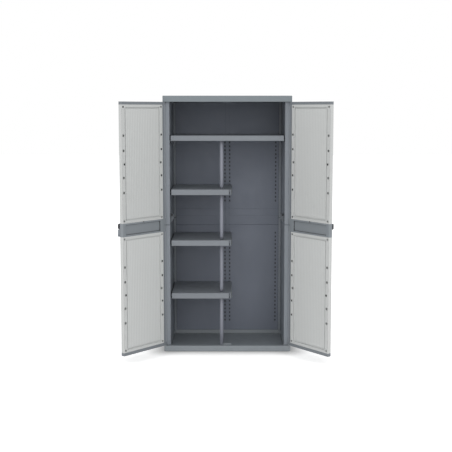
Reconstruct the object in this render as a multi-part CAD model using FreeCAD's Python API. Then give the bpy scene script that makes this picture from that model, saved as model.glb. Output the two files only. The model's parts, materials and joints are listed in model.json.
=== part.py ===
import FreeCAD, Part
import math
import os
from FreeCAD import Vector

# Garden storage cabinet in moulded plastic, with two doors standing open.
# Millimetres, +Z up. The origin is the middle of the underside of the base.
# X runs to the right and Y runs to the back. Every piece is drawn where it sits
# with the doors closed, and the pieces of a door then turn to their open place.

# Overall size of the closed cabinet
WIDTH = 897.0
DEPTH = 537.0
HEIGHT = 1800.0

# Base, roof and the corner posts between them
BASE_HEIGHT = 39.5
BASE_FRONT_DROP = 2.0
FLOOR_TOP = 10.0
FLOOR_WALL = 2.6
ROOF_HEIGHT = 41.5
ROOF_WALL = 2.6
RIM_WALL = 5.0
RIM_TOP_WALL = 4.0
CORNER_RADIUS = 14.0
FRONT_OVERHANG = 26.0
SILL_BEHIND_POST_FACE = 3.0
WELL_CORNER = 14.0
RIB = 2.4
RIB_SPACING = 290.0
SHELF_RIB_SPACING = 240.0
SIDE_THICKNESS = 43.1
POST_FACE_WIDTH = 32.6
SIDE_INSET = 3.0
SIDE_WALL = 1.6
SIDE_WEB_SPACING = 100.0
POST_REBATE = 13.0
SEAM_HEIGHT = 900.0
SEAM_CHAMFER = 1.5
FOOT_LINES = (73.0, 95.0)

# Back wall: four panels in grooves, joined down the middle
BACK_THICKNESS = 9.6
BACK_SHEET = 2.2
BACK_FRAME = 10.0
BACK_LIP = 2.5
GROOVE_DEPTH = 9.0
CORNER_FLANGE = 17.0
CORNER_FLANGE_THICKNESS = 12.0
BACK_SEAM_HEIGHT = 845.0
JOINER_WIDTH = 24.6
JOINER_PLATE = 3.0
BACK_RIB_LINES = (915.0, 965.0)

# Holes for the shelf clips
HOLE_WIDTH = 10.0
HOLE_HEIGHT = 14.0
HOLE_DEPTH = 8.0
HOLE_PITCH = 29.0
LOWER_FIRST_HOLE = 116.0
HOLES_END_BELOW_SEAM = 60.0
UPPER_FIRST_HOLE = 1026.0
HOLES_END_BELOW_ROOF = 260.0
HOLE_COLUMN_BY_JOINER = 17.5
HOLE_COLUMN_FROM_WALL = 40.4
SIDE_COLUMN_FROM_POST = 70.0

# Shelves
SHELF_BEHIND_DOOR = 1.6
SHELF_PLATE = 2.4
SHELF_LIP = 38.0
SHELF_SIDE_LIP = 30.0
SHELF_END_GAP = 6.4
HALF_SHELF_CLIPS_LOWER = (377.0, 754.0)
HALF_SHELF_CLIP_UPPER = 1113.0
HALF_SHELF_REACH = 35.0
HALF_SHELF_TAPER = 6.5
HALF_SHELF_ROUND = 34.0
CLIP_TOP_ABOVE_HOLE = 4.2
CLIP_HEIGHT = 12.0
CLIP_WIDTH = 14.0
BACK_CLIP_WIDTH = 9.0
CLIP_REACH = 14.0

# Divider pole
POLE_X = -40.7
POLE_BEHIND_SHELF_FRONT = 60.0
POLE_RADIUS = 13.0
POLE_WALL = 1.5
POLE_BOTTOM_ABOVE_FLOOR = 36.0
POLE_TOP_BELOW_PLATE = 14.0
POLE_STEM_RADIUS = 9.0
COLLAR_WALL = 4.0
POLE_PLATE_EDGE = 6.0

# Doors
LEFT_OPEN_ANGLE = 128.8
RIGHT_OPEN_ANGLE = 125.8
DOOR_ABOVE_BASE = 7.5
DOOR_TOP_GAP = 1.0
DOOR_MEETING_GAP = 3.0
PIN_IN_FROM_SIDE = 10.5
PIN_AHEAD_OF_POST = 16.0
KNUCKLE_RADIUS = 8.0
DOOR_THICKNESS = 29.4
LINER_SIDE_CLEARANCE = 2.4
PANEL_SKIN = 1.9
EDGE_CHAMFER = 2.0
TOP_RAIL = 19.5
BOTTOM_RAIL = 22.0
BAND_HEIGHT = 91.0
PANEL_BORDER = 30.0
PANEL_END_BORDER = 18.0
GUTTER_WIDTH = 9.0
GUTTER_DEPTH = 8.0
FIELD_DEPTH = 4.0
FLUTES = 5
FLUTE_LAND = 5.0
FLUTE_DEPTH = 1.0
PEG_HOLE = 12.0
PEG_HOLE_STEPS = (0.0, 90.0, 190.0)
PEG_HOLE_FROM_END = 15.5
MIDDLE_PEG_SHIFT = 7.0
BAND_BORDER = 11.0
BAND_NOTCH = 14.0

# Lock lugs on both doors and the pull handle on the left door
LEFT_LUG_PROUD = 19.0
RIGHT_LUG_PROUD = 12.0
LOCK_LUG_HEIGHT = 38.0
LOCK_LUG_LENGTH = 60.0
LOCK_LUG_WALL = 8.0
LOCK_EYE_RADIUS = 3.5
LOCK_EYE_OUT = 6.4
HANDLE_PROUD = 19.0
HANDLE_BELOW_LUG = 2.5
HANDLE_LENGTH = 150.0
HANDLE_END_WALL = 8.0
HANDLE_POCKET = 46.0
HANDLE_WALL = 5.0
HANDLE_HOLE_RADIUS = 4.0

# Hinges
END_PIN_RADIUS = 5.0
END_PIN_LENGTH = 13.0
MIDDLE_PIN_RADIUS = 3.0
MIDDLE_PIN_LENGTH = 44.0
EAR_INSET = 0.6
EAR_THICKNESS = 10.0
RUNNING_CLEARANCE = 0.06

# Small pieces and clearances
WALL_LUG_WIDTH = 24.0
WALL_LUG_HEIGHT = 62.0
WALL_LUG_THICKNESS = 18.0
WALL_LUG_TOP = 975.0
WALL_LUG_BEHIND_POST = 50.0
WALL_LUG_SLOT = (14.0, 13.0)
WALL_LUG_WALL = 4.0
STOP_WIDTH = 54.0
STOP_OVERLAP_TOP = 2.5
STOP_OVERLAP_BOTTOM = 1.0
STOP_THICKNESS = 5.0
SPIGOT_LENGTH = 70.0
SEAT = 0.3

# Places worked out from the sizes above
half_width = WIDTH / 2
front_y = -DEPTH / 2
back_y = DEPTH / 2
post_y = front_y + FRONT_OVERHANG
roof_under = HEIGHT - ROOF_HEIGHT
side_outer = half_width - SIDE_INSET
opening_half = side_outer - SIDE_THICKNESS
post_outer = opening_half + POST_FACE_WIDTH
well_front_y = post_y + SILL_BEHIND_POST_FACE
groove_back_y = back_y - BACK_LIP
back_rear_y = groove_back_y - SEAT / 2
back_face_y = back_rear_y - BACK_THICKNESS
groove_front_y = back_face_y - SEAT / 2
flange_front_y = groove_front_y - CORNER_FLANGE_THICKNESS
flange_inner = opening_half - CORNER_FLANGE
groove_outer = opening_half + GROOVE_DEPTH
corner_column = opening_half - HOLE_COLUMN_FROM_WALL
joiner_front_y = back_face_y - SEAT / 2 - JOINER_PLATE
shelf_back_y = joiner_front_y - SEAT
pin_x = half_width - PIN_IN_FROM_SIDE
pin_y = post_y - PIN_AHEAD_OF_POST
door_top = roof_under - DOOR_TOP_GAP
door_bottom = BASE_HEIGHT + DOOR_ABOVE_BASE
door_free_x = DOOR_MEETING_GAP / 2
pole_bottom = FLOOR_TOP + POLE_BOTTOM_ABOVE_FLOOR
door_outer_y = pin_y - KNUCKLE_RADIUS
stile_inner_y = pin_y + KNUCKLE_RADIUS
door_inner_y = door_outer_y + DOOR_THICKNESS
shelf_front_y = door_inner_y + SHELF_BEHIND_DOOR
pole_y = shelf_front_y + POLE_BEHIND_SHELF_FRONT
liner_x = opening_half - LINER_SIDE_CLEARANCE
panel_height = (door_top - TOP_RAIL - BAND_HEIGHT - BOTTOM_RAIL - door_bottom) / 2
band_bottom = door_bottom + BOTTOM_RAIL + panel_height
band_top = band_bottom + BAND_HEIGHT
band_middle = (band_bottom + band_top) / 2
fitting_y = door_outer_y - SEAT / 3
handle_y = door_outer_y - HANDLE_PROUD
handle_bottom = band_bottom + 1.5
lug_top = band_top - 1.0
lug_middle = lug_top - LOCK_LUG_HEIGHT / 2
handle_height = lug_top - LOCK_LUG_HEIGHT - HANDLE_BELOW_LUG - handle_bottom

os.makedirs("parts", exist_ok=True)


def save(name, shape):
    """Write one piece, or a list of separate pieces, to its own STEP file."""
    if isinstance(shape, list):
        shape = Part.makeCompound(shape)
    shape.exportStep("parts/" + name + ".step")


def block(x0, x1, y0, y1, z0, z1):
    return Part.makeBox(x1 - x0, y1 - y0, z1 - z0, Vector(x0, y0, z0))


def post(x, y, z0, z1, radius):
    return Part.makeCylinder(radius, z1 - z0, Vector(x, y, z0))


def outline_block(points, z0, z1):
    """A straight prism over a closed outline of (x, y) points."""
    corners = [Vector(x, y, z0) for x, y in points]
    face = Part.Face(Part.makePolygon(corners + corners[:1]))
    return face.extrude(Vector(0, 0, z1 - z0))


def upright_edges(shape, places):
    """The upright edges of a prism that stand at the given (x, y) places."""
    picked = []
    for edge in shape.Edges:
        low, high = edge.Vertexes[0].Point, edge.Vertexes[-1].Point
        upright = abs(low.x - high.x) < 0.01 and abs(low.y - high.y) < 0.01
        for x, y in places:
            if upright and abs(low.x - x) < 0.01 and abs(low.y - y) < 0.01:
                picked.append(edge)
    return picked


def round_upright_edges(shape, radius, places):
    return shape.makeFillet(radius, upright_edges(shape, places))


def bevel_upright_edges(shape, places):
    return shape.makeChamfer(EDGE_CHAMFER, upright_edges(shape, places))


def rounded_block(x0, x1, y0, y1, z0, z1, radius):
    corners = [(x0, y0), (x1, y0), (x1, y1), (x0, y1)]
    return round_upright_edges(block(x0, x1, y0, y1, z0, z1), radius, corners)


def well(x0, x1, y0, y1, z0, z1):
    """A rectangular hollow with its four upright corners cut across."""
    c = WELL_CORNER
    return outline_block([(x0 + c, y0), (x1 - c, y0), (x1, y0 + c), (x1, y1 - c), (x1 - c, y1),
                          (x0 + c, y1), (x0, y1 - c), (x0, y0 + c)], z0, z1)


def eight_sided(x, y, z0, z1, radius):
    """An upright prism with eight flat sides that touch a circle of the given radius."""
    corner = radius / math.cos(math.pi / 8)
    angles = [math.pi / 8 + math.pi / 4 * i for i in range(8)]
    return outline_block([(x + corner * math.cos(a), y + corner * math.sin(a)) for a in angles], z0, z1)


def v_groove_x(x0, x1, y, z, size, inward):
    """A V cut along X in a face that looks along Y; inward is +1 or -1."""
    points = [Vector(x0, y - inward, z - size - 1), Vector(x0, y + inward * size, z)]
    points.append(Vector(x0, y - inward, z + size + 1))
    face = Part.Face(Part.makePolygon(points + points[:1]))
    return face.extrude(Vector(x1 - x0, 0, 0))


def mirrored(shape):
    return shape.mirror(Vector(0, 0, 0), Vector(1, 0, 0))


def spread(low, high, spacing):
    """Middles of evenly spaced ribs that leave no bay wider than the spacing."""
    bays = math.ceil((high - low) / spacing)
    return [low + (high - low) * i / bays for i in range(1, bays)]


def rib_grid(x0, x1, y0, y1, z0, z1, spacing):
    """Upright ribs that cross under a floor, a roof or a shelf."""
    ribs = [block(x - RIB / 2, x + RIB / 2, y0, y1, z0, z1) for x in spread(x0, x1, spacing)]
    ribs += [block(x0, x1, y - RIB / 2, y + RIB / 2, z0, z1) for y in spread(y0, y1, spacing)]
    return ribs


def hinge_boss_places():
    return [(-pin_x, pin_y), (pin_x, pin_y)]


def rim_hollows(z0, z1):
    """Hollows inside the front sill and both side sills of the base or the roof."""
    front_end = opening_half - WELL_CORNER
    side_front = post_y + POST_REBATE
    hollows = []
    for x0, x1 in ((-front_end, -STOP_WIDTH / 2 - RIM_WALL), (STOP_WIDTH / 2 + RIM_WALL, front_end)):
        hollows.append(block(x0, x1, front_y + RIM_WALL, well_front_y - RIM_WALL, z0, z1))
    for x0, x1 in ((-half_width + RIM_WALL, -opening_half - RIM_WALL),
                   (opening_half + RIM_WALL, half_width - RIM_WALL)):
        hollows.append(block(x0, x1, side_front, groove_front_y - RIM_WALL, z0, z1))
    return hollows


def base_tray():
    """Shallow tray with a hollow sill all round, hinge bosses and a door stop in front."""
    base = rounded_block(-half_width, half_width, front_y, back_y, 0, BASE_HEIGHT, CORNER_RADIUS)
    base = base.cut(well(-opening_half, opening_half, well_front_y, groove_front_y,
                         FLOOR_TOP, BASE_HEIGHT + 1))
    slope = [Vector(-half_width, front_y - 1, BASE_HEIGHT - BASE_FRONT_DROP)]
    slope.append(Vector(-half_width, front_y - 1, BASE_HEIGHT + 1))
    slope.append(Vector(-half_width, post_y, BASE_HEIGHT + 1))
    slope.append(Vector(-half_width, post_y, BASE_HEIGHT))
    wedge = Part.Face(Part.makePolygon(slope + slope[:1])).extrude(Vector(WIDTH, 0, 0))
    base = base.cut(wedge)
    straight = half_width - CORNER_RADIUS
    base = base.cut(v_groove_x(-straight, straight, front_y, BASE_HEIGHT / 2, 0.8, 1))
    under = block(-opening_half, opening_half, well_front_y, groove_front_y,
                  -1, FLOOR_TOP - FLOOR_WALL)
    under = under.cut(rib_grid(-opening_half, opening_half, well_front_y,
                               groove_front_y, -1, FLOOR_TOP, RIB_SPACING))
    base = base.cut([under] + rim_hollows(-1, BASE_HEIGHT - BASE_FRONT_DROP - RIM_TOP_WALL))
    boss_bottom = BASE_HEIGHT - BASE_FRONT_DROP - 2
    boss_top = door_bottom - SEAT
    for x, y in hinge_boss_places():
        base = base.fuse(eight_sided(x, y, boss_bottom, boss_top, KNUCKLE_RADIUS))
        hole_bottom = door_bottom - END_PIN_LENGTH - SEAT
        base = base.cut(post(x, y, hole_bottom, boss_top + 1, END_PIN_RADIUS + RUNNING_CLEARANCE))
    stop_y = door_inner_y + SEAT
    stop_foot = well_front_y - 1
    stop = block(-STOP_WIDTH / 2, STOP_WIDTH / 2, stop_foot, stop_y + STOP_THICKNESS,
                 FLOOR_TOP - 1, BASE_HEIGHT)
    stop = stop.fuse(block(-STOP_WIDTH / 2, STOP_WIDTH / 2, stop_y, stop_y + STOP_THICKNESS,
                           FLOOR_TOP - 1, door_bottom + STOP_OVERLAP_BOTTOM))
    return base.fuse(stop).removeSplitter()


def roof_top():
    """Shallow lid with ribs under it, holes for the door pins and a door stop."""
    roof = rounded_block(-half_width, half_width, front_y, back_y, roof_under, HEIGHT, CORNER_RADIUS)
    top_edges = [e for e in roof.Edges if abs(e.BoundBox.ZMin - HEIGHT) < 0.01]
    roof = roof.makeChamfer(2.0, top_edges)
    under = well(-opening_half, opening_half, well_front_y + STOP_THICKNESS,
                 groove_front_y, roof_under - 1, HEIGHT - ROOF_WALL)
    under = under.cut(rib_grid(-opening_half, opening_half, well_front_y, groove_front_y,
                               roof_under + ROOF_HEIGHT / 3, HEIGHT, RIB_SPACING))
    roof = roof.cut([under] + rim_hollows(roof_under - 1, HEIGHT - RIM_TOP_WALL))
    for x, y in hinge_boss_places():
        hole_top = door_top + END_PIN_LENGTH + SEAT
        roof = roof.cut(post(x, y, roof_under - 1, hole_top, END_PIN_RADIUS + RUNNING_CLEARANCE))
    stop_y = door_inner_y + SEAT
    stop = block(-STOP_WIDTH / 2, STOP_WIDTH / 2, stop_y, stop_y + STOP_THICKNESS,
                 door_top - STOP_OVERLAP_TOP, roof_under + ROOF_HEIGHT / 2)
    return roof.fuse(stop).removeSplitter()


def hole_heights(first, limit):
    """Middles of the clip holes from the first one up to a limit."""
    return [first + HOLE_PITCH * i for i in range(int((limit - first) / HOLE_PITCH) + 1)]


def nearest_hole(heights, wanted):
    return min(heights, key=lambda z: abs(z - wanted))


def side_section(z0, z1):
    """Right-hand side wall: a hollow twin wall with the front post and a back groove."""
    points = [(opening_half, post_y), (post_outer, post_y), (post_outer, post_y + POST_REBATE),
              (side_outer, post_y + POST_REBATE), (side_outer, back_y), (opening_half, back_y),
              (opening_half, groove_back_y), (groove_outer, groove_back_y),
              (groove_outer, groove_front_y), (flange_inner, groove_front_y),
              (flange_inner, flange_front_y), (opening_half, flange_front_y)]
    wall = outline_block(points, z0, z1)
    return bevel_upright_edges(wall, [points[0], points[1], points[3]])


def side_cavities():
    """Spans in Y of the hollow bays inside the side wall."""
    low = post_y + SIDE_WALL
    high = groove_front_y - SIDE_WALL
    webs = spread(low, high, SIDE_WEB_SPACING)
    starts = [low] + [y + SIDE_WALL / 2 for y in webs]
    ends = [y - SIDE_WALL / 2 for y in webs] + [high]
    return list(zip(starts, ends))


def cavity_x(y0):
    """The front bay is narrower, because the rebate for the door is cut beside it."""
    outer = side_outer if y0 > post_y + POST_REBATE else post_outer
    return opening_half + SIDE_WALL, outer - SIDE_WALL


def side_panel(z0, z1, holes, lower):
    wall = side_section(z0, z1)
    for y0, y1 in side_cavities():
        x0, x1 = cavity_x(y0)
        wall = wall.cut(block(x0, x1, y0, y1, z0 - 1, z1 + 1))
    wall = wall.cut(block(groove_outer + SIDE_WALL, side_outer - SIDE_WALL, groove_front_y,
                          back_y - SIDE_WALL, z0 - 1, z1 + 1))
    seam = z1 if lower else z0
    reach = 2 * half_width
    wall = wall.cut(v_groove_x(0, reach, post_y, seam, SEAM_CHAMFER, 1))
    if lower:
        for z in FOOT_LINES:
            wall = wall.cut(v_groove_x(0, reach, post_y, z, 0.8, 1))
    column_y = post_y + SIDE_COLUMN_FROM_POST
    cuts = [block(opening_half - 1, opening_half + SIDE_WALL + 1, column_y - HOLE_WIDTH / 2,
                  column_y + HOLE_WIDTH / 2, z - HOLE_HEIGHT / 2, z + HOLE_HEIGHT / 2) for z in holes]
    return wall.cut(cuts).removeSplitter()


def back_panel(z0, z1, holes, corner_holes, rib_lines):
    """Right-hand back panel: a front sheet on a frame, with a strip behind each hole column."""
    x0 = JOINER_PLATE / 2 + SEAT
    x1 = groove_outer - SEAT
    panel = block(x0, x1, back_face_y, back_rear_y, z0, z1)
    strip = BACK_FRAME
    columns = (HOLE_COLUMN_BY_JOINER, corner_column)
    open_x0, open_x1 = columns[0] + strip, columns[1] - strip
    middle = (open_x0 + open_x1) / 2
    spans = [(open_x0, middle - RIB), (middle + RIB, open_x1), (columns[1] + strip, x1 - strip)]
    levels = [z0 + strip] + spread(z0 + strip, z1 - strip, 400.0) + [z1 - strip]
    pockets = []
    for span_low, span_high in spans:
        for low, high in zip(levels, levels[1:]):
            pockets.append(block(span_low, span_high, back_face_y + BACK_SHEET, back_rear_y + 1,
                                 low + RIB / 2, high - RIB / 2))
    for x, column in zip(columns, (holes, corner_holes)):
        for z in column:
            pockets.append(block(x - HOLE_WIDTH / 2, x + HOLE_WIDTH / 2, back_face_y - 1,
                                 back_face_y + HOLE_DEPTH, z - HOLE_HEIGHT / 2, z + HOLE_HEIGHT / 2))
    panel = panel.cut(pockets)
    for z in rib_lines:
        panel = panel.cut(v_groove_x(x0 - 1, x1 + 1, back_face_y, z, 0.8, 1))
    for z in (z0, z1):
        panel = panel.cut(v_groove_x(x0 - 1, x1 + 1, back_face_y, z, SEAM_CHAMFER, 1))
    return panel.removeSplitter()


def back_joiner(z0, z1):
    """H-shaped strip that holds the inner edges of two back panels."""
    half = JOINER_WIDTH / 2
    front = block(-half, half, joiner_front_y, joiner_front_y + JOINER_PLATE, z0, z1)
    web = block(-JOINER_PLATE / 2, JOINER_PLATE / 2, joiner_front_y, back_rear_y + SEAT, z0, z1)
    rear = block(-half, half, back_rear_y + SEAT / 2, back_y, z0, z1)
    return front.fuse([web, rear]).removeSplitter()


def shelf_hollow(x0, x1, top, lip):
    """What is taken out under a shelf's plate, so that lips and ribs are left."""
    wall = SHELF_PLATE
    y0 = shelf_front_y + wall
    y1 = shelf_back_y - wall
    hollow = block(x0 + wall, x1 - wall, y0, y1, top - lip - 1, top - SHELF_PLATE)
    ribs = rib_grid(x0 + wall, x1 - wall, y0, y1, top - SHELF_SIDE_LIP, top, SHELF_RIB_SPACING)
    return hollow.cut(ribs)


def full_shelf(top):
    end = opening_half - SHELF_END_GAP
    notch = flange_inner - SEAT * 2
    notch_y = flange_front_y - SEAT * 2
    outline = [(-end, shelf_front_y), (end, shelf_front_y), (end, notch_y), (notch, notch_y),
               (notch, shelf_back_y), (-notch, shelf_back_y), (-notch, notch_y), (-end, notch_y)]
    body = outline_block(outline, top - SHELF_LIP + 2, top)
    body = bevel_upright_edges(body, [(-end, shelf_front_y), (end, shelf_front_y)])
    hollow = shelf_hollow(-notch, notch, top, SHELF_LIP)
    raise_back = block(-half_width, half_width, shelf_front_y + SHELF_PLATE, back_y,
                       top - SHELF_LIP - 1, top - SHELF_SIDE_LIP)
    body = body.cut([hollow, raise_back]).removeSplitter()
    front_edges = [e for e in body.Edges if e.BoundBox.XLength > end
                   and abs(e.BoundBox.ZMin - top) < 0.01 and e.BoundBox.YMax < shelf_front_y + 0.01]
    return body.makeChamfer(1.5, front_edges)


def half_shelf(top):
    left = -(opening_half - SHELF_END_GAP - 2.5)
    notch = -(flange_inner - SEAT * 2)
    notch_y = flange_front_y - SEAT * 2
    right = HALF_SHELF_REACH
    right_back = HALF_SHELF_REACH - HALF_SHELF_TAPER
    outline = [(left, shelf_front_y), (right, shelf_front_y), (right_back, shelf_back_y),
               (notch, shelf_back_y), (notch, notch_y), (left, notch_y)]
    body = outline_block(outline, top - SHELF_LIP, top)
    body = round_upright_edges(body, HALF_SHELF_ROUND, [(right, shelf_front_y)])
    body = bevel_upright_edges(body, [(left, shelf_front_y)])
    wall = SHELF_PLATE
    y0 = shelf_front_y + wall
    y1 = shelf_back_y - wall
    inside = [(notch + wall, y0), (right - wall, y0), (right_back - wall, y1), (notch + wall, y1)]
    hollow = outline_block(inside, top - SHELF_LIP - 1, top - SHELF_PLATE)
    corner = [e for e in upright_edges(hollow, [(right - wall, y0)])]
    hollow = hollow.makeChamfer(HALF_SHELF_ROUND / 2, corner)
    ribs = rib_grid(notch + wall, right - wall, y0, y1, top - SHELF_SIDE_LIP, top, SHELF_RIB_SPACING)
    ring = eight_sided(POLE_X, pole_y, top - SHELF_SIDE_LIP, top, POLE_RADIUS + COLLAR_WALL)
    body = body.cut(hollow.cut(ribs + [ring]))
    raise_left = block(-half_width, 0, shelf_front_y + HALF_SHELF_ROUND, back_y,
                       top - SHELF_LIP - 1, top - SHELF_SIDE_LIP)
    raise_back = block(-half_width, half_width, shelf_back_y - 2 * CLIP_REACH, back_y,
                       top - SHELF_LIP - 1, top - SHELF_SIDE_LIP)
    body = body.cut([raise_left, raise_back])
    return body.cut(post(POLE_X, pole_y, 0, HEIGHT, POLE_RADIUS + 0.4)).removeSplitter()


def clip_top(z):
    """Height of a clip's ledge, for the hole whose middle is at z."""
    return z + CLIP_TOP_ABOVE_HOLE


def wall_clip(z, side):
    """Peg in a side wall with a ledge under the shelf; side is +1 or -1."""
    y = post_y + SIDE_COLUMN_FROM_POST
    half = HOLE_WIDTH / 2 - SEAT
    rise = HOLE_HEIGHT / 2 - SEAT
    face = opening_half - SEAT
    peg = block(face, opening_half + SIDE_WALL + 1, y - half, y + half, z - rise, z + rise)
    ledge = block(face - CLIP_REACH, face, y - CLIP_WIDTH / 2, y + CLIP_WIDTH / 2,
                  clip_top(z) - CLIP_HEIGHT, clip_top(z))
    clip = peg.fuse(ledge).removeSplitter()
    return clip if side > 0 else mirrored(clip)


def back_clip(x, z):
    """Peg in the back wall with a ledge under the shelf's back edge."""
    half = HOLE_WIDTH / 2 - SEAT
    rise = HOLE_HEIGHT / 2 - SEAT
    face = back_face_y - SEAT
    peg = block(x - half, x + half, face, face + HOLE_DEPTH, z - rise, z + rise)
    ledge = block(x - BACK_CLIP_WIDTH / 2, x + BACK_CLIP_WIDTH / 2, face - CLIP_REACH, face,
                  clip_top(z) - CLIP_HEIGHT, clip_top(z))
    return peg.fuse(ledge).removeSplitter()


def pole(z1):
    tube = post(POLE_X, pole_y, pole_bottom, z1, POLE_RADIUS)
    return tube.cut(post(POLE_X, pole_y, pole_bottom - 1, z1 + 1, POLE_RADIUS - POLE_WALL))


def pole_plug(z0, z1):
    """Cross of two blades that fits inside the tube."""
    reach = POLE_RADIUS - POLE_WALL - 0.5
    blade = 1.6
    return [block(POLE_X - reach, POLE_X + reach, pole_y - blade, pole_y + blade, z0, z1),
            block(POLE_X - blade, POLE_X + blade, pole_y - reach, pole_y + reach, z0, z1)]


def pole_foot():
    """Foot on the floor: a square plate, a slim stem, a shoulder and a cross inside the tube."""
    floor = FLOOR_TOP + SEAT / 3
    half = POLE_RADIUS + POLE_PLATE_EDGE
    plate = block(POLE_X - half, POLE_X + half, pole_y - half, pole_y + half, floor, floor + 3)
    plate = plate.makeChamfer(5.0, [e for e in plate.Edges if e.BoundBox.ZLength > 1])
    stem = eight_sided(POLE_X, pole_y, floor + 2, pole_bottom - 4, POLE_STEM_RADIUS)
    shoulder = eight_sided(POLE_X, pole_y, pole_bottom - 5, pole_bottom - SEAT / 3, POLE_RADIUS - 1)
    return plate.fuse([stem, shoulder] + pole_plug(pole_bottom - 2, pole_bottom + 26)).removeSplitter()


def pole_head(plate_under):
    """Square plate under the full shelf, with a collar round the top of the tube."""
    top = plate_under - SEAT / 3
    tube_top = plate_under - POLE_TOP_BELOW_PLATE
    half = POLE_RADIUS + POLE_PLATE_EDGE
    plate = block(POLE_X - half, POLE_X + half, pole_y - half, pole_y + half, top - 3, top)
    plate = plate.makeChamfer(5.0, [e for e in plate.Edges if e.BoundBox.ZLength > 1])
    collar = eight_sided(POLE_X, pole_y, tube_top - 16, top - 2, POLE_RADIUS + 2.5)
    socket = eight_sided(POLE_X, pole_y, tube_top - 17, tube_top + SEAT, POLE_RADIUS + 0.3)
    return plate.fuse(collar).cut(socket).removeSplitter()


def seam_spigot(y0, y1, x0, x1):
    """Plug that sits half in the lower and half in the upper side wall."""
    gap = SEAT
    half = SPIGOT_LENGTH / 2
    plug = block(x0 + gap, x1 - gap, y0 + gap, y1 - gap, SEAM_HEIGHT - half, SEAM_HEIGHT + half)
    inner = block(x0 + gap + 3, x1 - gap - 3, y0 + gap + 3, y1 - gap - 3,
                  SEAM_HEIGHT - half - 1, SEAM_HEIGHT + half + 1)
    return plug.cut(inner)


def seam_spigots():
    bays = side_cavities()
    plugs = []
    for y0, y1 in (bays[1], bays[-2]):
        x0, x1 = cavity_x(y0)
        plugs.append(seam_spigot(y0, y1, x0, x1))
    return plugs


def wall_lug():
    """Lug that stands in from the upper side wall, with a blind slot under its top edge."""
    x1 = opening_half - SEAT
    x0 = x1 - WALL_LUG_WIDTH
    y0 = post_y + WALL_LUG_BEHIND_POST
    low = WALL_LUG_TOP - WALL_LUG_HEIGHT
    cut = WALL_LUG_WIDTH / 3
    outline = [(x1, low), (x1, WALL_LUG_TOP), (x0 + cut, WALL_LUG_TOP), (x0, WALL_LUG_TOP - cut),
               (x0, low + 3 * cut), (x1 - cut, low)]
    corners = [Vector(x, y0, z) for x, z in outline]
    lug = Part.Face(Part.makePolygon(corners + corners[:1])).extrude(Vector(0, WALL_LUG_THICKNESS, 0))
    slot_width, slot_height = WALL_LUG_SLOT
    slot = block(x1 - WALL_LUG_WALL - slot_width, x1 - WALL_LUG_WALL, y0 - 1,
                 y0 + WALL_LUG_THICKNESS - WALL_LUG_WALL,
                 WALL_LUG_TOP - WALL_LUG_WALL - slot_height, WALL_LUG_TOP - WALL_LUG_WALL)
    return lug.cut(slot)


def hinge_ear():
    """Eye for the middle pin, on a web that is fixed in the rebate of the post."""
    z0 = band_middle - EAR_THICKNESS / 2
    z1 = band_middle + EAR_THICKNESS / 2
    web_half = 4.0
    foot_y = post_y + POST_REBATE - SEAT
    ear = eight_sided(pin_x, pin_y, z0, z1, KNUCKLE_RADIUS - EAR_INSET)
    ear = ear.fuse(block(pin_x - web_half + 1.5, pin_x + web_half, pin_y, foot_y, z0, z1))
    ear = ear.fuse(block(post_outer + 2 * SEAT, side_outer - 1, foot_y - 3, foot_y, z0 - 8, z1 + 8))
    bore = post(pin_x, pin_y, z0 - 1, z1 + 1, MIDDLE_PIN_RADIUS + RUNNING_CLEARANCE)
    return ear.cut(bore).removeSplitter()


def door_outline(inset=0.0):
    """Section of the whole door: thick from the free edge to the liner's end, then the stile."""
    return [(door_free_x + inset, door_outer_y + inset), (pin_x, door_outer_y + inset),
            (pin_x, stile_inner_y - inset), (liner_x - inset, stile_inner_y - inset),
            (liner_x - inset, door_inner_y - inset), (door_free_x + inset, door_inner_y - inset)]


def door_bar(z0, z1):
    """Full section of the door over a short height, as its rails and band have."""
    bar = outline_block(door_outline(), z0, z1)
    bar = bevel_upright_edges(bar, [(door_free_x, door_outer_y), (door_free_x, door_inner_y),
                                    (liner_x, door_inner_y)])
    return bar.fuse(post(pin_x, pin_y, z0, z1, KNUCKLE_RADIUS)).removeSplitter()


def panel_shell(z0):
    """Outer half of a door panel: a flat tray with fluted face and the hinge stile."""
    z1 = z0 + panel_height
    outer = [(door_free_x, door_outer_y), (pin_x, door_outer_y), (pin_x, stile_inner_y),
             (door_free_x, stile_inner_y)]
    shell = outline_block(outer, z0, z1)
    shell = bevel_upright_edges(shell, [(door_free_x, door_outer_y)])
    shell = shell.fuse(post(pin_x, pin_y, z0, z1, KNUCKLE_RADIUS))
    hollow = block(door_free_x + PANEL_SKIN, liner_x, door_outer_y + PANEL_SKIN, stile_inner_y + 1,
                   z0 + PANEL_SKIN, z1 - PANEL_SKIN)
    stile = block(liner_x + PANEL_SKIN, pin_x - KNUCKLE_RADIUS, door_outer_y + PANEL_SKIN,
                  stile_inner_y - PANEL_SKIN, z0 - 1, z1 + 1)
    shell = shell.cut([hollow, stile])
    pitch = (liner_x - 2 * PANEL_BORDER) / FLUTES
    flutes = []
    for i in range(FLUTES):
        x = door_free_x + PANEL_BORDER + pitch * (i + 0.5)
        flutes.append(block(x - pitch / 2 + FLUTE_LAND, x + pitch / 2 - FLUTE_LAND, door_outer_y - 1,
                            door_outer_y + FLUTE_DEPTH, z0 + PANEL_BORDER, z1 - PANEL_BORDER))
    return shell.cut(flutes).removeSplitter()


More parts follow.
